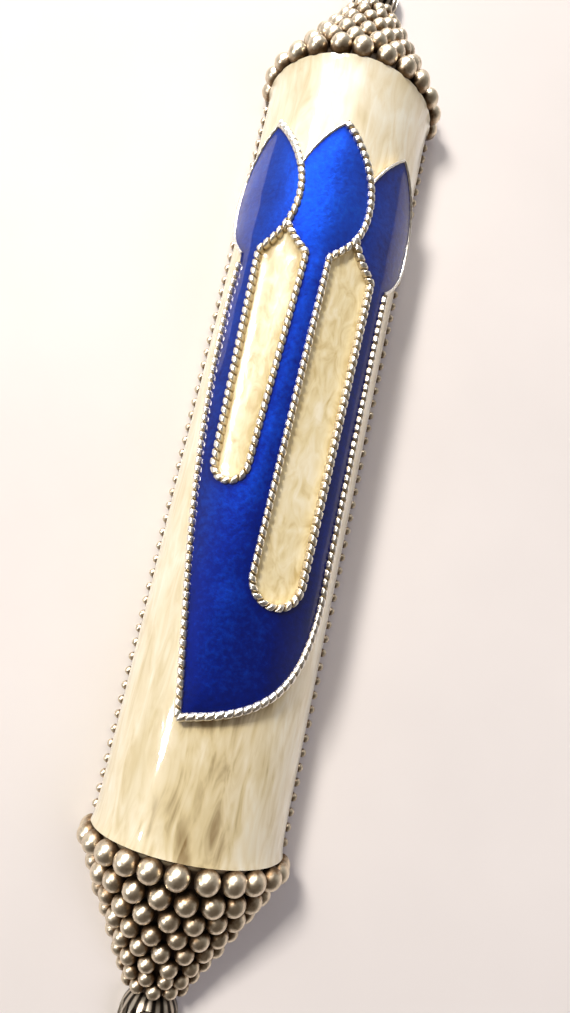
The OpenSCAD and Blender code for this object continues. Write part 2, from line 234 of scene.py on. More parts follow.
def balls(centres, diameters, out, around, levels, tarnish_and_shade=0.0):
    """Spheres as one shell each, with poles along their outward directions. A point's
    mark rises from 0 on top to 1 on the side that faces what the ball sits on: painted shade
    under the ball, with blackening in the hollow there. Each ball's own offset, its tarnish and any
    change to that painted shade, is added to it."""
    out = out / np.linalg.norm(out, axis=1)[:, None]
    aside = np.cross(out, [0.0, 1.0, 0.01])
    aside /= np.linalg.norm(aside, axis=1)[:, None]
    third = np.cross(out, aside)
    fall = np.linspace(0, math.pi, levels + 1)[1:-1]
    turn = np.linspace(0, 2 * math.pi, around, endpoint=False)
    local = np.stack([np.outer(np.sin(fall), np.cos(turn)), np.outer(np.sin(fall), np.sin(turn)),
                      np.outer(np.cos(fall), np.ones(around))], -1).reshape(-1, 3)
    local = np.vstack([local, [[0, 0, 1], [0, 0, -1]]])
    axes = np.stack([aside, third, out], 1)
    points = centres[:, None] + (local @ axes) * diameters[:, None, None] / 2
    starts = (np.arange(len(centres)) * len(local))[:, None, None]
    faces = [(group + starts).reshape(-1, group.shape[1])
             for group in (grid_faces(levels - 1, around, ring=True), *fans(levels - 1, around))]
    # Painted shade: darkest on the side that faces what the ball sits on, lightest on top.
    dark = np.clip(0.5 - 0.9 * local[None, :, 2] + np.reshape(tarnish_and_shade, (-1, 1)), 0, 1)
    return shell(points, faces, np.broadcast_to(dark, points.shape[:2]))


# ---------------------------------------------------------------- paths of the ornament

def cubic(a, b, c, d, steps=60):
    """Points of the cubic curve from a to d with the handles b and c."""
    t = np.linspace(0, 1, steps + 1)[:, None]
    a, b, c, d = (np.asarray(p, float) for p in (a, b, c, d))
    return (1 - t) ** 3 * a + 3 * (1 - t) ** 2 * t * b + 3 * (1 - t) * t ** 2 * c + t ** 3 * d


def spaced(path, step, closed=False):
    """A path cut into equal steps of about that length."""
    if closed:
        path = np.vstack([path, path[:1]])
    run = np.concatenate([[0], np.cumsum(np.linalg.norm(np.diff(path, axis=0), axis=1))])
    places = np.linspace(0, run[-1], max(int(round(run[-1] / step)), 3) + 1)
    even = np.stack([np.interp(places, run, path[:, i]) for i in (0, 1)], -1)
    return even[:-1] if closed else even


def eased(path, reach):
    """An open path whose kinks are rounded: each point becomes the mean of its neighbours
    within reach steps, and both ends stay."""
    wide = np.pad(path, ((reach, reach), (0, 0)), mode="reflect", reflect_type="odd")
    return np.lib.stride_tricks.sliding_window_view(wide, 2 * reach + 1, axis=0).mean(-1)


def stretch(path, start, end):
    """The part of a path from the place nearest to start to the place nearest to end."""
    i = np.linalg.norm(path - start, axis=1).argmin()
    j = np.linalg.norm(path - end, axis=1).argmin()
    part = path[i:j + 1] if i <= j else path[j:i + 1][::-1]
    return np.vstack([start, part[1:-1], end])


def meeting(first, second, low, high):
    """Where two paths come closest to each other, between two levels."""
    a = first[(first[:, 1] >= low) & (first[:, 1] <= high)]
    b = second[(second[:, 1] >= low) & (second[:, 1] <= high)]
    gaps = np.linalg.norm(a[:, None] - b[None], axis=2)
    i, j = np.unravel_index(gaps.argmin(), gaps.shape)
    return (a[i] + b[j]) / 2


def bud_side(axis, side, drop=0.0):
    """One side of a bud in small even steps: from its tip out to its belly, and back in to
    its stem."""
    tip = np.array([0, BUD_TIP_Y])
    belly = np.array([BUD_HALF_WIDTH, BUD_TIP_Y - BUD_BELLY_DROP])
    foot = np.array([STEM_HALF_WIDTH, BUD_TIP_Y - BUD_FOOT_DROP])
    half = np.vstack([
        cubic(tip, tip + [0.36 * BUD_HALF_WIDTH, -1.2], belly + [0, 3.8], belly),
        cubic(belly, belly + [0, -3.1],
              foot + [0.7 * BUD_HALF_WIDTH - STEM_HALF_WIDTH, 1.5], foot)[1:],
    ])
    return spaced(half * [side, 1] + [axis, -drop], 0.05)


left_bud = {side: bud_side(-BUD_SPACING, side) for side in (-1, 1)}
centre_bud = {side: bud_side(0, side) for side in (-1, 1)}
right_bud = {side: bud_side(BUD_SPACING, side, RIGHT_BUD_DROP) for side in (-1, 1)}


def crossings(first, second):
    """Where neighbouring buds cross: above their bellies, and well below them."""
    belly_y = BUD_TIP_Y - BUD_BELLY_DROP
    return [meeting(first, second, belly_y, BUD_TIP_Y),
            meeting(first, second, SHOULDER_Y, belly_y - 1.5)]


left_crossing = crossings(left_bud[1], centre_bud[-1])
right_crossing = crossings(centre_bud[1], right_bud[-1])

# The outside of the ornament, from one corner to the next
outer_edge = BUD_SPACING + STEM_HALF_WIDTH
left_shoulder = np.array([-outer_edge, SHOULDER_Y])
right_bend = np.array([outer_edge, FOOT_TIP[1] + RIGHT_BEND_RISE])
left_edge = cubic(left_shoulder, left_shoulder + [-1.2, -16.9], FOOT_TIP + [-1.7, 11.3], FOOT_TIP)
base_edge = cubic(FOOT_TIP, FOOT_TIP + [4.3, 1.1], right_bend + [-0.2, -11.2], right_bend)
right_edge = np.vstack([base_edge, [[outer_edge, SHOULDER_Y]]])


def window(value, left_bud_side, right_bud_side, apex):
    """The outline of a window, from its apex down the left bud and stem, round the foot and
    up again. The stems' edges run straight from the buds to the foot's arc."""
    middle = np.array([value["mid"], value["foot"] + value["radius"]])
    turn = np.linspace(math.pi, 2 * math.pi, 41)[:, None]
    arc = middle + value["radius"] * np.hstack([np.cos(turn), np.sin(turn)])
    down = stretch(left_bud_side, apex, left_bud_side[-1])
    up = stretch(right_bud_side, right_bud_side[-1], apex)
    left_top, right_top = down[-1:] * [1, 0], up[:1] * [1, 0]
    shoulder = [[0, SHOULDER_Y]]
    return np.vstack([down, left_top + shoulder, arc, right_top + shoulder, up])


left_window = window(LEFT_WINDOW, left_bud[1], centre_bud[-1], left_crossing[1])
right_window = window(RIGHT_WINDOW, centre_bud[1], right_bud[-1], right_crossing[1])

ornament = np.vstack([
    left_bud[-1][:-1],
    left_edge[:-1],
    right_edge[:-1],
    right_bud[1][::-1][:-1],
    stretch(right_bud[-1], right_bud[-1][0], right_crossing[0])[:-1],
    stretch(centre_bud[1], right_crossing[0], centre_bud[1][0])[:-1],
    stretch(centre_bud[-1], centre_bud[-1][0], left_crossing[0])[:-1],
    stretch(left_bud[1], left_crossing[0], left_bud[1][0])[:-1],
])


# ---------------------------------------------------------------- areas and wires

def inside(points, loops):
    """Whether each point lies inside the loops, holes left out: a line to the right from it
    crosses their edges an odd number of times."""
    count = np.zeros(len(points), int)
    for loop in loops:
        a, b = loop[None], np.roll(loop, -1, axis=0)[None]
        x, y = points[:, None, 0], points[:, None, 1]
        spans = (a[..., 1] > y) != (b[..., 1] > y)
        rise = np.where(b[..., 1] == a[..., 1], 1e-9, b[..., 1] - a[..., 1])
        reach = a[..., 0] + (y - a[..., 1]) * (b[..., 0] - a[..., 0]) / rise
        count += (spans & (x < reach)).sum(1)
    return count % 2 == 1


def slab(outline, holes, top, bottom, spacing):
    """An area of the front with thickness. Its outline and holes are cut into even steps, a
    staggered net of points fills it, and the triangles between them are made twice, at the
    height that top gives for each place and its distance from the edge, and at bottom. A
    wall along the edge closes it. Its mark of painted shade, the wires' shadow along its edge,
    fades from 1 at the edge inward."""
    loops = [spaced(loop, spacing, closed=True) for loop in [outline, *holes]]
    edge = np.vstack(loops)
    low, high = edge.min(0), edge.max(0)
    across = np.arange(low[0], high[0], spacing)
    upward = np.arange(low[1], high[1], spacing * 0.866)  # an even triangle's height
    net = np.stack(np.meshgrid(across, upward), -1)
    net[1::2, :, 0] += spacing / 2
    net = net.reshape(-1, 2)
    net = net[inside(net, loops)]
    gap = np.sqrt(((net[:, None] - edge[None]) ** 2).sum(-1)).min(1)
    clear = gap > 0.55 * spacing
    net, gap = net[clear], gap[clear]
    places = np.vstack([edge, net])
    gaps = np.concatenate([np.zeros(len(edge)), gap])
    starts = np.cumsum([0] + [len(loop) for loop in loops])
    rims = [(start + i, start + (i + 1) % len(loop))
            for loop, start in zip(loops, starts) for i in range(len(loop))]
    found = delaunay_2d_cdt([Vector(p) for p in places.tolist()], rims, [], 0, 1e-7)
    triangles = np.array(found[2])
    triangles = triangles[inside(places[triangles].mean(1), loops)]
    count = len(places)
    sides = np.vstack([triangles[:, [0, 1]], triangles[:, [1, 2]], triangles[:, [2, 0]]])
    codes = sides[:, 0] * count + sides[:, 1]
    rim = sides[~np.isin(codes, sides[:, 1] * count + sides[:, 0])]
    wall = np.stack([rim[:, 1], rim[:, 0], rim[:, 0] + count, rim[:, 1] + count], -1)
    upper = on_front(places[:, 0], places[:, 1], top(places[:, 0], places[:, 1], gaps))
    lower = on_front(places[:, 0], places[:, 1], np.full(count, float(bottom)))
    # Painted shade of the wires: darkest at the edge, fading inward.
    marks = np.exp(-gaps / 0.45)
    return shell(np.vstack([upper, lower]), [triangles, triangles[:, ::-1] + count, wall],
                 np.concatenate([marks, marks]))


def rope(path, closed=False, width=WIRE_WIDTH, rise=WIRE_RISE, depth=NOTCH_DEPTH, start=0.0,
         taper=(1.0, 1.0)):
    """A notched wire standing on the shell along an unrolled path. Its section has upright
    sides and a half round top. Slanting grooves, a pitch apart along the wire, lower the
    top and narrow it. The taper is the width's share at the two ends of the path."""
    step = NOTCH_PITCH / 12
    even = spaced(path, step, closed)
    if not closed:
        even = eased(even, 4)
    run = start + np.arange(len(even)) * step
    ahead = np.roll(even, -1, 0) - np.roll(even, 1, 0) if closed else np.gradient(even, axis=0)
    ahead = ahead / np.linalg.norm(ahead, axis=1)[:, None]
    aside = np.stack([ahead[:, 1], -ahead[:, 0]], -1)
    turn = np.linspace(math.pi, 0, 13)
    crown = np.sin(turn)
    share = np.cos(turn)
    half = width / 2 * np.linspace(taper[0], taper[1], len(even))[:, None]
    phase = (run[:, None] + NOTCH_SLANT * half * share) / NOTCH_PITCH
    away = np.abs(phase - np.floor(phase) - 0.5) * 2
    groove = np.clip((away - 0.5) / 0.5, 0, 1) ** 1.4
    notch = groove * depth / NOTCH_DEPTH
    across = half * share * (1 - NOTCH_PINCH * notch)
    height = rise - WIRE_TOP_HEIGHT * (1 - crown) - depth * groove * (0.35 + 0.65 * crown)
    hollow = np.maximum(0.9 * notch, (0.3 - crown) * 0.8)
    # One more point on each side stands at the shell, under the section's edge
    sides = ((0, 0), (1, 1))
    across = np.pad(across, sides, mode="edge")
    height = np.pad(height, sides, constant_values=SHELL_DEPTH)
    hollow = np.pad(hollow, sides, constant_values=0.6)
    place = even[:, None] + across[..., None] * aside[:, None]
    rings = on_front(place[..., 0], place[..., 1], height)
    if closed:
        count, around = rings.shape[:2]
        faces = grid_faces(count + 1, around, ring=True) % (count * around)
        return shell(rings, [faces], hollow)
    return tube(rings, hollow)


def run_length(path):
    """The length of a path."""
    return np.linalg.norm(np.diff(path, axis=0), axis=1).sum()


# ---------------------------------------------------------------- making pieces

def linear(code):
    """A colour given as an sRGB hex value, made linear."""
    parts = np.array([int(code[i:i + 2], 16) for i in (1, 3, 5)]) / 255
    curved = np.where(parts <= 0.04045, parts / 12.92, ((parts + 0.055) / 1.055) ** 2.4)
    return (*curved.tolist(), 1.0)


def piece(name, parts, material, body, node):
    """Makes a mesh object from one shell, with its marks of patina and painted shade as an
    attribute, gives it its material, and sets it on its body in place of its CAD node."""
    points, faces, hollow = parts
    mesh = bpy.data.meshes.new(name)
    mesh.from_pydata((points * MM).tolist(), [], [f for group in faces for f in group.tolist()])
    mesh.attributes.new("hollow", "FLOAT", "POINT").data.foreach_set("value", hollow)
    mesh.polygons.foreach_set("use_smooth", np.full(len(mesh.polygons), True))
    mesh.update()
    obj = bpy.data.objects.new(name, mesh)
    bpy.context.scene.collection.objects.link(obj)
    mesh.materials.append(material)
    mesh.set_sharp_from_angle(angle=math.radians(38))
    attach(obj, body)
    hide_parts(node)


def add(tree, kind, inputs=None, stops=None, **settings):
    """Adds a node with its settings. An input that is a socket is linked, any other input
    is set, and stops are a colour ramp's places and hex colours."""
    made = tree.nodes.new(kind)
    for key, value in settings.items():
        setattr(made, key, value)
    for key, value in (inputs or {}).items():
        if isinstance(value, bpy.types.NodeSocket):
            tree.links.new(value, made.inputs[key])
        else:
            made.inputs[key].default_value = value
    if stops:
        ramp = made.color_ramp.elements
        for _ in stops[2:]:
            ramp.new(0.5)
        for element, (place, code) in zip(ramp, stops):
            element.position, element.color = place, linear(code)
    return made


def new_material(name):
    """An empty node material and its tree, with the output in place."""
    material = bpy.data.materials.new(name)
    material.use_nodes = True
    material.node_tree.nodes.clear()
    return material, material.node_tree


def finish_material(tree, shader):
    """Links a shader to the surface."""
    add(tree, "ShaderNodeOutputMaterial", {"Surface": shader.outputs[0]})


PER_MM = 1000.0  # turns a pattern's repeats per millimetre into repeats per metre


def in_mm(tree, drawn_out=1):
    """Places on the piece in millimetres. A pattern on them is drawn out that many times
    along the case."""
    place = add(tree, "ShaderNodeTexCoord")
    mapping = add(tree, "ShaderNodeMapping", {
        "Vector": place.outputs["Object"], "Scale": (PER_MM, PER_MM / drawn_out, PER_MM)})
    return mapping.outputs["Vector"]


def worked_out(tree, operation, *values):
    """The result of a sum on sockets and numbers."""
    made = add(tree, "ShaderNodeMath", dict(enumerate(values)), operation=operation)
    return made.outputs[0]


# ---------------------------------------------------------------- finishes

def pearl_enamel(name, light, mid, shade, darkest, streak, gloss):
    """Fired pearl enamel, brushed on along the case: a milky body with pale and tan streaks,
    darker where the piece's mark of painted shade lies, under a clear glossy coat that isn't quite
    level."""
    material, tree = new_material(name)
    # Brush streaks are about 1.3 mm wide, and streak times as long
    streaks = add(tree, "ShaderNodeTexNoise", {
        "Vector": in_mm(tree, streak), "Scale": 1 / 1.3, "Detail": 3, "Roughness": 0.5,
        "Distortion": 1.4})
    # Clouds of pigment are about 4.5 mm wide, and twice as long
    clouds = add(tree, "ShaderNodeTexNoise", {
        "Vector": in_mm(tree, 2), "Scale": 1 / 4.5, "Detail": 3, "Distortion": 1.2})
    both = add(tree, "ShaderNodeMix", {
        "Factor": 0.45, "A": streaks.outputs["Fac"], "B": clouds.outputs["Fac"]})
    # Painted shade from the piece's marks lowers the tone, down to the darkest stop.
    painted_shade = add(tree, "ShaderNodeAttribute", attribute_name="hollow")
    darkening = worked_out(tree, "MULTIPLY", painted_shade.outputs["Fac"], 0.26)
    tone = worked_out(tree, "SUBTRACT", both.outputs["Result"], darkening)
    colour = add(tree, "ShaderNodeValToRGB", {"Fac": tone},
                 stops=[(0.12, darkest), (0.32, shade), (0.47, mid), (0.64, light)])
    level = add(tree, "ShaderNodeBump", {
        "Strength": 0.35, "Distance": 0.00008, "Height": streaks.outputs["Fac"]})
    shader = add(tree, "ShaderNodeBsdfPrincipled", {
        "Base Color": colour.outputs["Color"], "Roughness": 0.4, "IOR": 1.5,
        "Coat Weight": 1.0, "Coat Roughness": gloss, "Coat IOR": 1.55,
        "Normal": level.outputs["Normal"], "Coat Normal": level.outputs["Normal"]})
    finish_material(tree, shader)
    return material


def cobalt_enamel():
    """Transparent cobalt enamel over a hammered silver ground: the ground's fine grain
    mottles the blue from below. Along the wires it is darkened with painted shadow of the wires,
    down its right side with painted shade where the front turns away from the light, and it is also
    darker towards the ornament's foot. The coat above it is glassy."""
    material, tree = new_material("cobalt_enamel")
    place = in_mm(tree)
    # The ground's grain is about 0.55 mm, in drifts of about 5 mm
    grain = add(tree, "ShaderNodeTexNoise", {
        "Vector": place, "Scale": 1 / 0.55, "Detail": 5, "Roughness": 0.65})
    drift = add(tree, "ShaderNodeTexNoise", {"Vector": place, "Scale": 1 / 5.0, "Detail": 2})
    both = add(tree, "ShaderNodeMix", {
        "Factor": 0.4, "A": grain.outputs["Fac"], "B": drift.outputs["Fac"]})
    # Painted shadow of the wires, from the piece's marks along its edges.
    depth = add(tree, "ShaderNodeAttribute", attribute_name="hollow")
    edge = worked_out(tree, "MULTIPLY", depth.outputs["Fac"], 0.24)
    split = add(tree, "ShaderNodeSeparateXYZ", {"Vector": place})
    # Darker towards the ornament's foot, lighter towards the buds' tips.
    foot = add(tree, "ShaderNodeMapRange", {
        "Value": split.outputs["Y"], "From Min": BUD_TIP_Y, "From Max": FOOT_TIP[1],
        "To Min": -0.08, "To Max": 0.12})
    # Painted shade down the right side, where the front turns away from the light.
    aside = add(tree, "ShaderNodeMapRange", {
        "Value": split.outputs["X"], "From Min": 3.0, "From Max": BUD_SPACING,
        "To Min": 0.0, "To Max": 0.14})
    slope = worked_out(tree, "ADD", aside.outputs["Result"], foot.outputs["Result"])
    darkening = worked_out(tree, "ADD", edge, slope)
    calm = worked_out(tree, "MULTIPLY_ADD", both.outputs["Result"], 0.55, 0.22)
    tone = worked_out(tree, "SUBTRACT", calm, darkening)
    colour = add(tree, "ShaderNodeValToRGB", {"Fac": tone},
                 stops=[(0.15, "#000842"), (0.38, "#001A78"), (0.58, "#053EB4"), (0.85, "#1466D4")])
    ground = add(tree, "ShaderNodeBump", {
        "Strength": 0.5, "Distance": 0.0001, "Height": grain.outputs["Fac"]})
    shader = add(tree, "ShaderNodeBsdfPrincipled", {
        "Base Color": colour.outputs["Color"], "Metallic": 0.35, "Roughness": 0.42,
        "Specular IOR Level": 0.0, "Normal": ground.outputs["Normal"],
        "Coat Weight": 1.0, "Coat Roughness": 0.02, "Coat IOR": 1.65})
    finish_material(tree, shader)
    return material


def antiqued_metal(name, bright, worn, dark, rough, grain_size, bump):
    """Cast or drawn white metal, blackened and then polished: bright where a cloth reaches
    and brown to black in the hollows, with fine handling marks. The piece's marks also carry
    painted shade, which darkens it the same way."""
    material, tree = new_material(name)
    grain = add(tree, "ShaderNodeTexNoise", {
        "Vector": in_mm(tree), "Scale": 1 / grain_size, "Detail": 5, "Roughness": 0.6})
    # The piece's marks: blackening in hollows, and painted shade.
    depth = add(tree, "ShaderNodeAttribute", attribute_name="hollow")
    uneven = add(tree, "ShaderNodeMapRange", {
        "Value": grain.outputs["Fac"], "From Min": 0.3, "From Max": 0.7,
        "To Min": -0.18, "To Max": 0.18})
    blackening_and_shade = worked_out(tree, "ADD", depth.outputs["Fac"], uneven.outputs["Result"])
    colour = add(tree, "ShaderNodeValToRGB", {"Fac": blackening_and_shade},
                 stops=[(0.0, bright), (0.4, worn), (0.85, dark)])
    shine = add(tree, "ShaderNodeMapRange", {
        "Value": blackening_and_shade, "From Min": 0.1, "From Max": 0.9,
        "To Min": rough, "To Max": rough + 0.35})
    marks = add(tree, "ShaderNodeBump", {
        "Strength": bump, "Distance": 0.00005, "Height": grain.outputs["Fac"]})
    shader = add(tree, "ShaderNodeBsdfPrincipled", {
        "Base Color": colour.outputs["Color"], "Metallic": 1.0,
        "Roughness": shine.outputs["Result"], "Normal": marks.outputs["Normal"]})
    finish_material(tree, shader)
    return material


def cap_core():
    """The cores under the granules: dark brown between them, with a rim painted bright at the mouth
    as a painted highlight where the enamel's end meets the granules. The rim ends 0.9 mm from the
    tube."""
    material, tree = new_material("cap_core")
    place = in_mm(tree)
    split = add(tree, "ShaderNodeSeparateXYZ", {"Vector": place})
    # Painted highlight: bright near the mouth, fading to the dark brown further in.
    rim = add(tree, "ShaderNodeMapRange", {
        "Value": worked_out(tree, "ABSOLUTE", split.outputs["Y"]),
        "From Min": HALF_LENGTH + 0.3, "From Max": HALF_LENGTH + 0.9,
        "To Min": 0.0, "To Max": 1.0})
    colour = add(tree, "ShaderNodeValToRGB", {"Fac": rim.outputs["Result"]},
                 stops=[(0.0, "#D8C8A8"), (0.5, "#5A4A38"), (1.0, "#4A3C2E")])
    grain = add(tree, "ShaderNodeTexNoise", {
        "Vector": place, "Scale": 1 / 0.5, "Detail": 4})
    lumps = add(tree, "ShaderNodeBump", {
        "Strength": 0.6, "Distance": 0.0001, "Height": grain.outputs["Fac"]})
    shader = add(tree, "ShaderNodeBsdfPrincipled", {
        "Base Color": colour.outputs["Color"], "Metallic": 0.6, "Roughness": 0.45,
        "Normal": lumps.outputs["Normal"]})
    finish_material(tree, shader)
    return material


def ribbed_pewter():
    """Cast pewter for a finial, darkened in the grooves that run along it: painted shade for flutes
    that the shape shows only shallowly, with blackening in them. Where a place lies between two
    ribs comes from its angle about the finial's axis."""
    material = cast_pewter.copy()
    material.name = "ribbed_pewter"
    tree = material.node_tree
    split = add(tree, "ShaderNodeSeparateXYZ", {"Vector": in_mm(tree)})
    height = worked_out(tree, "SUBTRACT", split.outputs["Z"], FINIAL_AXIS_Z)
    angle = worked_out(tree, "ARCTAN2", split.outputs["X"], height)
    turns = worked_out(tree, "MULTIPLY", angle, 2.0 * FINIAL_FLUTES)
    # Painted shade in the grooves between the ribs, with their blackening.
    blackening_and_shade = add(tree, "ShaderNodeMapRange", {
        "Value": worked_out(tree, "COSINE", turns), "From Min": 0.6, "From Max": -0.6,
        "To Min": 0.0, "To Max": 0.9})
    ramp = next(n for n in tree.nodes if n.type == "VALTORGB")
    tree.links.new(blackening_and_shade.outputs["Result"], ramp.inputs["Fac"])
    return material


def calf_parchment():
    """Scraped skin: pale tan with fibrous mottling of about 1 mm and a dull, dry surface."""
    material, tree = new_material("calf_parchment")
    fibres = add(tree, "ShaderNodeTexNoise", {
        "Vector": in_mm(tree), "Scale": 1 / 0.9, "Detail": 6, "Roughness": 0.7,
        "Distortion": 0.8})
    colour = add(tree, "ShaderNodeValToRGB", {"Fac": fibres.outputs["Fac"]},
                 stops=[(0.3, "#B79A66"), (0.5, "#D8C394"), (0.7, "#EADDB8")])
    nap = add(tree, "ShaderNodeBump", {
        "Strength": 0.5, "Distance": 0.00006, "Height": fibres.outputs["Fac"]})
    shader = add(tree, "ShaderNodeBsdfPrincipled", {
        "Base Color": colour.outputs["Color"], "Roughness": 0.72, "Normal": nap.outputs["Normal"],
        "Sheen Weight": 0.15})
    finish_material(tree, shader)
    return material


def waxed_sleeve():
    """A thin waxed wrapper: milky, with soft creases."""
    material, tree = new_material("waxed_sleeve")
    creases = add(tree, "ShaderNodeTexNoise", {
        "Vector": in_mm(tree, 3), "Scale": 1 / 2.2, "Detail": 3})
    colour = add(tree, "ShaderNodeValToRGB", {"Fac": creases.outputs["Fac"]},
                 stops=[(0.35, "#DAD2BF"), (0.65, "#F4F0E4")])
    fold = add(tree, "ShaderNodeBump", {
        "Strength": 0.6, "Distance": 0.0001, "Height": creases.outputs["Fac"]})
    shader = add(tree, "ShaderNodeBsdfPrincipled", {
        "Base Color": colour.outputs["Color"], "Roughness": 0.33, "IOR": 1.45,
        "Normal": fold.outputs["Normal"]})
    finish_material(tree, shader)
    return material


cream = pearl_enamel("cream_pearl_enamel", "#FFFAE4", "#F4E8C6", "#E2D1A2", "#8E7446", 5, 0.05)
window_cream = pearl_enamel("window_pearl_enamel", "#FFF6D8", "#EFDFAE", "#D2B97C", "#A88A50",
                            2, 0.16)
cobalt = cobalt_enamel()
milled_silver = antiqued_metal("milled_silver", "#FAF6EE", "#CDBB9A", "#4E3F2E", 0.28, 0.35, 0.3)
granule_silver = antiqued_metal("granule_silver", "#E6D8C0", "#80684E", "#38291C", 0.32, 0.6, 0.8)
cast_pewter = antiqued_metal("cast_pewter", "#BFB5A6", "#8B7F70", "#2B2621", 0.34, 0.5, 0.5)
core_finish = cap_core()
ribbed_finish = ribbed_pewter()
parchment_finish = calf_parchment()
sleeve_finish = waxed_sleeve()


# ---------------------------------------------------------------- enamel pieces

def cream_coat():
    """The enamel over the whole front: the D section swept along the case, from one base
    strip over the crown to the other. It is a little uneven, and swells at both ends where
    it was drawn up against the caps. Its mark of painted shade is a bell curve of the distance from
    the ornament's base edge, a painted shadow under the ornament, and a weaker patch about the
    crown below the ornament, painted shade low on the front."""
    reach = FRONT_RADIUS * math.pi / 2 + SIDE_RISE - STRIP_HEIGHT
    along, y = np.meshgrid(np.linspace(-reach, reach, 121), np.linspace(-1, 1, 241) * HALF_LENGTH)
    swell = END_SWELL * np.exp(-(HALF_LENGTH - np.abs(y)) / END_SWELL_REACH)
    lift = swell + CREAM_UNEVEN * ripple(along, y / 3, 2.0, 3)
    x, z, tilt = on_section(FRONT_RADIUS, along)
    upper = np.stack([x + lift * np.sin(tilt), y, z + lift * np.cos(tilt)], -1)
    x, z, _ = on_section(SHELL_RADIUS, along * SHELL_RADIUS / FRONT_RADIUS)
    lower = np.stack([x, y, z], -1)[:, ::-1]
    rings = np.concatenate([upper, lower], 1)
    places = np.stack([along * WIRE_RADIUS / FRONT_RADIUS, y], -1)[..., None, :]
    gap = np.linalg.norm(places - base_edge[::3], axis=-1).min(-1)
    # Painted shade: a shadow along the ornament's base edge, and a shaded patch low on the front.
    low_front_shade = np.exp(-(along / 6) ** 2) * np.clip((FOOT_TIP[1] + 8 - y) / 12, 0, 1)
    painted_shade = np.exp(-(gap / 1.3) ** 2) + 0.7 * low_front_shade
    return shell(rings, folded_faces(*rings.shape[:2]), np.hstack([painted_shade, 0 * painted_shade]))


def blue_top(along, y, gap):
    """The blue's height: level away from its wires, lower beside them, drawn up again where
    it meets them, and not quite even."""
    crown = BLUE_CROWN * (np.exp(-gap / 0.3) - np.exp(-gap / 1.2))
    return BLUE_RISE + crown + BLUE_UNEVEN * ripple(along, y, 3.5, 5)


def trough_top(along, y, gap):
    """A window's floor: level in the middle and drawn up along its wires."""
    drawn_up = TROUGH_EDGE_RISE * np.exp(-gap / 0.6)
    return WINDOW_RISE + drawn_up + TROUGH_UNEVEN * ripple(along, y, 2.5, 8)


def relief_top(along, y, gap):
    """The silver ground under the blue, at one height."""
    return np.full(len(gap), RELIEF_RISE)


piece("cream_enamel_coat", cream_coat(), cream, "case", "cream_enamel")
windows = [left_window, right_window]
piece("silver_ground", slab(ornament, windows, relief_top, SHELL_DEPTH, spacing=0.5),
      cast_pewter, "case", "tulip_relief")
piece("blue_enamel_coat", slab(ornament, windows, blue_top, RELIEF_RISE, spacing=0.3),
      cobalt, "case", "blue_enamel")
for name, outline in (("left_window", left_window), ("right_window", right_window)):
    piece(name + "_enamel_pool", slab(outline, [], trough_top, SHELL_DEPTH, spacing=0.25),
          window_cream, "case", name + "_enamel")


# ---------------------------------------------------------------- wires

left_tip_wire = stretch(left_bud[1], left_bud[1][0], left_crossing[0])
centre_tip_wire = stretch(centre_bud[1], centre_bud[1][0], right_crossing[0])
left_lip = stretch(left_bud[1], *left_crossing)
centre_lip = stretch(centre_bud[1], *right_crossing)

outline_wires = joined([
    rope(left_tip_wire, width=0.8, depth=WORN_NOTCH_DEPTH),
    rope(centre_tip_wire),
    rope(stretch(centre_bud[-1], centre_bud[-1][0], left_crossing[0]), **THIN),
    rope(stretch(right_bud[-1], right_bud[-1][0], right_crossing[0]), **THIN),
    rope(left_bud[-1], **THIN),
    rope(right_bud[1], **THIN),
    rope(left_edge, taper=(0.6, 1.0)),
    rope(base_edge, depth=WORN_NOTCH_DEPTH),
    rope(right_edge[-2:], taper=(1.0, 0.75)),
])
left_bud_rope = rope(left_lip, width=0.76, depth=0.3, start=run_length(left_tip_wire))
centre_bud_rope = rope(centre_lip, start=run_length(centre_tip_wire))
for name, wires, node in (("outline_ropes", outline_wires, "outline_wire"),
                          ("left_bud_rope", left_bud_rope, "left_bud_wire"),
                          ("centre_bud_rope", centre_bud_rope, "centre_bud_wire"),
                          ("left_window_rope", rope(left_window), "left_window_wire"),
                          ("right_window_rope", rope(right_window), "right_window_wire")):
    piece(name, wires, milled_silver, "case", node)


# ---------------------------------------------------------------- edge beading

def beading(side):
    """The strip along one base edge, and the row of small beads half sunk in it, a pitch
    apart. The strip's outer face dips by a cosine wave between the beads."""
    count = int((2 * HALF_LENGTH - BEAD) // BEAD_PITCH) + 1
    y = (np.arange(count) - (count - 1) / 2) * BEAD_PITCH
    out = np.tile([side * 1.0, 0, 0.35], (count, 1))
    centres = np.stack([np.full(count, side * (FRONT_RADIUS + BEAD_PROUD)), y,
                        np.full(count, STRIP_HEIGHT / 2)], -1)
    beads = balls(centres, np.full(count, BEAD), out, around=14, levels=8)
    run = np.linspace(-HALF_LENGTH, HALF_LENGTH, 8 * (count - 1) + 1)
    dip = STRIP_DIP * (1 - np.cos(2 * math.pi * (run / BEAD_PITCH - ((count - 1) / 2 % 1))))
    turn = np.linspace(-math.pi / 2, math.pi / 2, 9)
    x = SHELL_RADIUS + (FRONT_RADIUS - SHELL_RADIUS) * np.cos(turn)[None] ** 0.35
    x = np.where(np.cos(turn)[None] < 1e-6, SHELL_RADIUS, x) - dip[:, None] * np.cos(turn)[None]
    z = STRIP_HEIGHT * (1 + np.sin(turn)) / 2 + 0 * x
    rings = np.stack([side * x, run[:, None] + 0 * x, z], -1)
    return joined([tube(rings, 0.5 + 0 * x), beads])


for name, side in (("left", -1), ("right", 1)):
    piece(name + "_bead_row", beading(side), granule_silver, "case",
          name + "_edge_beading")


# ---------------------------------------------------------------- granulated caps

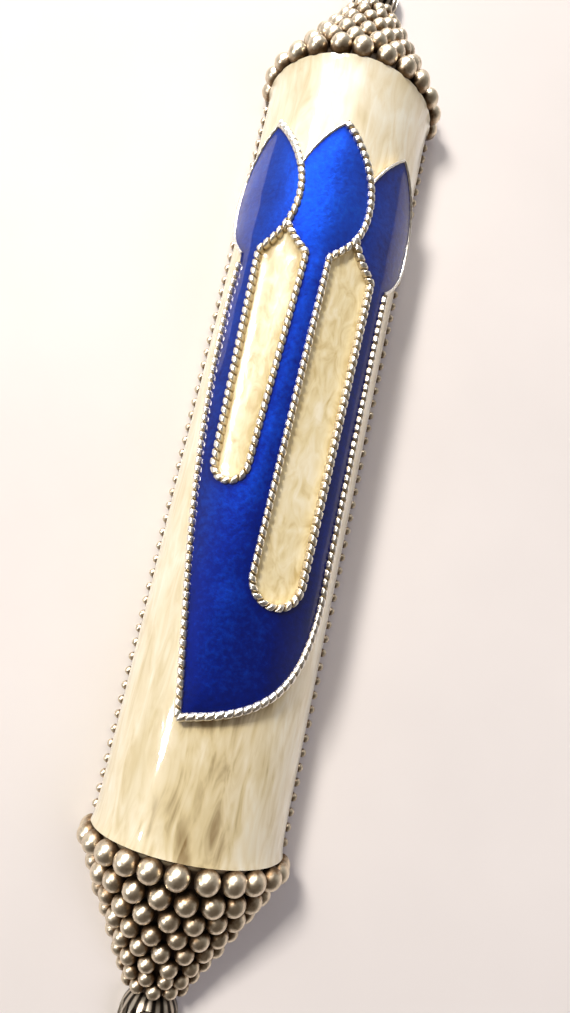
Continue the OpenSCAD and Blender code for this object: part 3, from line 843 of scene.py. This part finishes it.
def granulation(cap_node, end):
    """The granules of one cap. Their rows run round the cap's half cone, spaced by their
    sizes, and every second row has one granule fewer. Hand-made ones differ a little."""
    low, high = corners(cap_node)
    length = high[1] - low[1]
    mouth = low[1] if end > 0 else high[1]
    base_radius = high[0]
    row = np.arange(GRANULE_ROWS)
    size = np.where(row == 0, FIRST_GRANULE, SECOND_GRANULE
                    + (LAST_GRANULE - SECOND_GRANULE) * (row - 1) / (GRANULE_ROWS - 2))
    steps = np.concatenate([[0], np.cumsum((size[:-1] + size[1:]) / 2)])
    share = (steps / steps[-1]) ** ROW_CLOSING
    y = size[0] / 2 - FIRST_ROW_TUCK + (length - (size[0] + size[-1]) / 2) * share
    slope = (base_radius - CAP_TIP_RADIUS) / length
    radius = base_radius - slope * (y + FIRST_ROW_TUCK) + GRANULE_PROUD * size
    reach = radius * math.pi / 2 + SIDE_RISE - size / 2 - GRANULE_GAP
    fits = np.floor(2 * reach / (size + GRANULE_GAP)).astype(int) + 1
    count = np.minimum(FIRST_ROW_COUNT - np.ceil(row / 2).astype(int), fits)
    which = np.repeat(row, count)
    place = np.arange(len(which)) - np.repeat(np.cumsum(count) - count, count)
    along = -reach[which] + place * (2 * reach / (count - 1))[which]
    spread = rng.uniform(-GRANULE_STRAY, GRANULE_STRAY, (2, len(which))) * size[which]
    inner = (place > 0) & (place < count[which] - 1)
    x, z, angle = on_section(radius[which], along + spread[0] * inner)
    out = np.stack([np.sin(angle), end * slope + 0 * angle, np.cos(angle)], -1)
    shift = np.where(which > 0, spread[1], 0)
    centres = np.stack([x, mouth + end * (y[which] + shift), z], -1)
    sizes = size[which] * rng.uniform(0.95, 1.0, len(which))
    # Each granule's tarnish differs at random, and the first row, at the mouth, has less painted
    # shade.
    tarnish_and_shade = rng.uniform(0, 0.3, len(which)) - 0.25 * (which == 0)
    return balls(centres, sizes, out, around=18, levels=11, tarnish_and_shade=tarnish_and_shade)


for end_name, end, body in (("upper", 1, "case"), ("lower", -1, "lower_cap")):
    piece(end_name + "_granules", granulation(end_name + "_end_cap", end), granule_silver, body,
          end_name + "_granulation")


# ---------------------------------------------------------------- scroll

scroll_low, scroll_high = corners("parchment_scroll")
sleeve_low, sleeve_high = corners("scroll_sleeve")
SCROLL_MIDDLE_Z = (sleeve_low[2] + sleeve_high[2]) / 2
SLEEVE_RADIUS = (sleeve_high[2] - sleeve_low[2]) / 2


def rolled_sheet():
    """The parchment: a spiral that winds inward by an even amount each turn, carried along
    the case, with its turns slipped a little past one another at the ends."""
    outer = scroll_high[0]
    t = np.linspace(0, SHEET_TURNS, SHEET_TURNS * 48 + 1)
    radius = outer - (outer - SHEET_CORE_RADIUS) * t / SHEET_TURNS
    slip = SHEET_SLIP * np.sin(2 * math.pi * t / SHEET_SLIP_TURNS)
    loop_radius = np.concatenate([radius, (radius - SHEET_THICKNESS)[::-1]])
    loop_turn = 2 * math.pi * np.concatenate([t, t[::-1]])
    loop_slip = np.concatenate([slip, slip[::-1]])
    share = np.linspace(-1, 1, 25)[:, None]
    half = (scroll_high[1] - scroll_low[1]) / 2 - SHEET_SLIP
    y = share * half + loop_slip[None] * np.sign(share) * (np.abs(share) > 0.9)
    x = loop_radius * np.cos(loop_turn) + 0 * y
    z = SCROLL_MIDDLE_Z + loop_radius * np.sin(loop_turn) + 0 * y
    rings = np.stack([x, y, z], -1)
    return shell(rings, folded_faces(*rings.shape[:2]))


def wrapper():
    """The sleeve: a thin tube round the roll, its wall slightly creased."""
    turn = np.linspace(0, 2 * math.pi, 96, endpoint=False)[None]
    y = np.linspace(sleeve_low[1], sleeve_high[1], 61)[:, None]
    crease = SLEEVE_CREASE * (ripple(turn * 3.2 + 0 * y, y + 0 * turn, 4.0, 12) - 1)
    outer = SLEEVE_RADIUS + crease
    rings = [np.stack([r * np.cos(turn), y + 0 * turn, SCROLL_MIDDLE_Z + r * np.sin(turn)], -1)
             for r in (outer, outer - SLEEVE_WALL)]
    count, around = rings[0].shape[:2]
    skin = grid_faces(count, around, ring=True)
    j = np.arange(around)
    k = (j + 1) % around
    other = count * around
    end = np.stack([j, k, k + other, j + other], -1)
    faces = [skin, skin[:, ::-1] + other, end[:, ::-1], end + (count - 1) * around]
    return shell(np.vstack([r.reshape(-1, 3) for r in rings]), faces)


piece("parchment_roll", rolled_sheet(), parchment_finish, "scroll",
      "parchment_scroll")
piece("scroll_wrapper", wrapper(), sleeve_finish, "scroll", "scroll_sleeve")


# ---------------------------------------------------------------- CAD nodes that stay

STAYING = {
    "front_shell": cast_pewter, "back_plate": cast_pewter,
    "upper_collar": cast_pewter, "lower_collar": cast_pewter,
    "upper_end_cap": core_finish, "lower_end_cap": core_finish,
    "upper_finial": ribbed_finish, "lower_finial": ribbed_finish,
}
for node, material in STAYING.items():
    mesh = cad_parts[node].data
    mesh.materials.clear()
    mesh.materials.append(material)


# ---------------------------------------------------------------- floor, light and camera

def pale_floor():
    """A smooth pale board under the case, with a faint grain."""
    material, tree = new_material("pale_board")
    grain = add(tree, "ShaderNodeTexNoise", {
        "Vector": in_mm(tree), "Scale": 1 / 30.0, "Detail": 3})
    colour = add(tree, "ShaderNodeValToRGB", {"Fac": grain.outputs["Fac"]},
                 stops=[(0.3, "#EFEAE8"), (0.7, "#F6F1EF")])
    shader = add(tree, "ShaderNodeBsdfPrincipled", {
        "Base Color": colour.outputs["Color"], "Roughness": 0.6, "IOR": 1.4})
    finish_material(tree, shader)
    half = 1200 * MM
    mesh = bpy.data.meshes.new("floor")
    mesh.from_pydata([(-half, -half, 0), (half, -half, 0), (half, half, 0), (-half, half, 0)],
                     [], [(0, 1, 2, 3)])
    mesh.materials.append(material)
    floor = bpy.data.objects.new("floor", mesh)
    bpy.context.scene.collection.objects.link(floor)


def area_light(name, place, aim, size, power, colour):
    """A square soft light at a place, turned towards a point, both in millimetres."""
    data = bpy.data.lights.new(name, "AREA")
    data.size = size * MM
    data.energy = power
    data.color = linear(colour)[:3]
    lamp = bpy.data.objects.new(name, data)
    lamp.location = Vector(place) * MM
    lamp.rotation_euler = (Vector(aim) - Vector(place)).to_track_quat("-Z", "Y").to_euler()
    bpy.context.scene.collection.objects.link(lamp)
    return lamp


def studio():
    """A warm sky that is dimmest above the lower end and brightens towards the upper end and
    the horizon, a key light from the upper left, a weak broad light from the right, and three
    lights for glints alone."""
    world = bpy.data.worlds.new("studio")
    bpy.context.scene.world = world
    world.use_nodes = True
    tree = world.node_tree
    tree.nodes.clear()
    place = add(tree, "ShaderNodeTexCoord")
    towards = add(tree, "ShaderNodeVectorMath", {
        0: place.outputs["Generated"], 1: (0.2, -0.5, 0.84)}, operation="DOT_PRODUCT")
    sky = add(tree, "ShaderNodeValToRGB", {"Fac": towards.outputs["Value"]},
              stops=[(0.1, "#FFFFFF"), (0.4, "#D6D0C8"), (0.8, "#8E8072")])
    glow = add(tree, "ShaderNodeBackground", {"Color": sky.outputs["Color"], "Strength": 0.38})
    add(tree, "ShaderNodeOutputWorld", {"Surface": glow.outputs["Background"]})
    area_light("key", (-216, 178, 394), (0, 10, 0), 100, 2.05, "#FFF8EF")
    fill = area_light("fill", (320, -120, 380), (0, 0, 0), 300, 0.6, "#F4F0FF")
    fill.visible_glossy = False
    for name, place, size, power in (("high_glint", (-262, 350, 310), 50, 1.2),
                                     ("low_glint", (-390, -105, 300), 36, 0.9),
                                     ("cap_glint", (-90, 465, 360), 160, 4.0)):
        glint = area_light(name, place, (0, 0, 5), size, power, "#FFFFFF")
        glint.visible_diffuse = False


def camera():
    """The camera, close above the case and a little below its middle, rolled so that the
    case leans to the right."""
    data = bpy.data.cameras.new("camera")
    data.sensor_width = 36
    data.lens = 26.53
    data.clip_start = 0.005
    place, aim = Vector((-0.04, -19.94, 78.82)), Vector((2.48, -6.05, 0))
    back = (place - aim).normalized()
    right = Vector((0, 1, 0)).cross(back).normalized()
    turned = Matrix((right, back.cross(right), back)).transposed()
    turned = turned @ Matrix.Rotation(math.radians(12.3), 3, "Z")
    eye = bpy.data.objects.new("camera", data)
    eye.matrix_world = Matrix.Translation(place * MM) @ turned.to_4x4()
    bpy.context.scene.collection.objects.link(eye)
    bpy.context.scene.camera = eye


pale_floor()
studio()
camera()
bpy.context.scene.view_settings.view_transform = "Standard"
